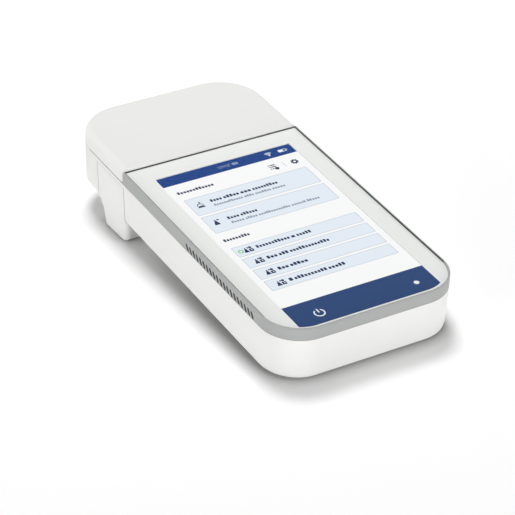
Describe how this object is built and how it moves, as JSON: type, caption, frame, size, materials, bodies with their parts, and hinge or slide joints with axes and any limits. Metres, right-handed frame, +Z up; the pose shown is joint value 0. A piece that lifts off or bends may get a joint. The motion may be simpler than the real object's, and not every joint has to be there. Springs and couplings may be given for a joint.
{
  "type": "flow cytometer",
  "caption": "Portable bench cytometer: a touch-display slab on a rear stand, with a hinged cover over the cassette bay.",
  "frame": {"origin": "middle of the object's box, at the surface it stands on", "axes": "+Z up from that surface, +Y from the front of the display to the hinge at the rear, +X to the user's right"},
  "size_m": [0.1234, 0.267, 0.0556],
  "materials": {
    "white_housing": "fine moulded grain",
    "grey_frame": "satin painted",
    "cover_glass": "clear, printed on the inside",
    "display": "polished",
    "steel": "rolled sheet and turned",
    "magnet": "nickel plated",
    "circuit_board": "solder mask",
    "chip": "moulded",
    "flex_film": "film",
    "battery_wrap": "shrink film",
    "black_moulding": "moulded",
    "dark_tray": "fine moulded grain",
    "rubber": "matte",
    "foam": "closed cell foam",
    "press_silicone": "moulded silicone",
    "optic_glass": "polished",
    "filter_glass": "polished",
    "mirror": "coated",
    "aluminium": "black anodised",
    "brass": "turned",
    "gilt": "gold plated",
    "hose": "soft extruded"
  },
  "bodies": {
    "case": {"lower_housing": "white_housing", "bezel_frame": "grey_frame", "cover_glass": "cover_glass", "glass_adhesive": "foam", "lcd_panel": "display", "backlight_unit": "steel", "display_chassis": "steel", "mainboard": "circuit_board", "processor_shield": "steel", "board_chips": "chip", "wifi_antenna": "flex_film", "display_flex": "flex_film", "battery_pack": "battery_wrap", "battery_strap": "steel", "blower_housing": "black_moulding", "io_board": "circuit_board", "usb_a_socket": "steel", "usb_c_socket": "steel", "rear_stand": "white_housing", "stand_pads": "rubber", "front_feet": "rubber", "bay_tray": "dark_tray", "tray_seal": "foam", "measuring_window": "optic_glass", "suction_port": "brass", "port_ring": "rubber", "contact_block": "black_moulding", "optical_bench": "aluminium", "laser_module": "brass", "objective_lens": "optic_glass", "beam_mirror": "mirror", "emission_filter": "filter_glass", "detector_board": "circuit_board", "light_detector": "steel", "vacuum_pump": "black_moulding", "suction_hose": "hose", "hinge_pin": "steel", "case_screws": "steel", "inner_screws": "steel", "tray_screws": "steel", "tray_magnets": "magnet"},
    "lid": {"lid_cover": "white_housing", "lid_liner": "dark_tray", "lid_magnets": "magnet", "liner_screws": "steel", "press_pad": "press_silicone"},
    "impeller": {"blower_impeller": "black_moulding"},
    "contacts": {"contact_plungers": "gilt"}
  },
  "joints": [
    {"name": "lid_hinge", "type": "hinge", "parent": "case", "child": "lid", "pos_m": [0, 0.13092, 0.04697], "axis": [-1, 0, 0], "range_deg": [0, 100]},
    {"name": "impeller_spin", "type": "hinge", "parent": "case", "child": "impeller", "pos_m": [-0.03625, -0.06166, 0.02377], "axis": [0, -0.0715, 0.9974], "continuous": true},
    {"name": "contact_press", "type": "slide", "parent": "case", "child": "contacts", "axis": [0, 0.0715, -0.9974], "range_m": [0, 0.001], "stiffness_N_per_m": 600, "springref_m": -0.0005}
  ]
}
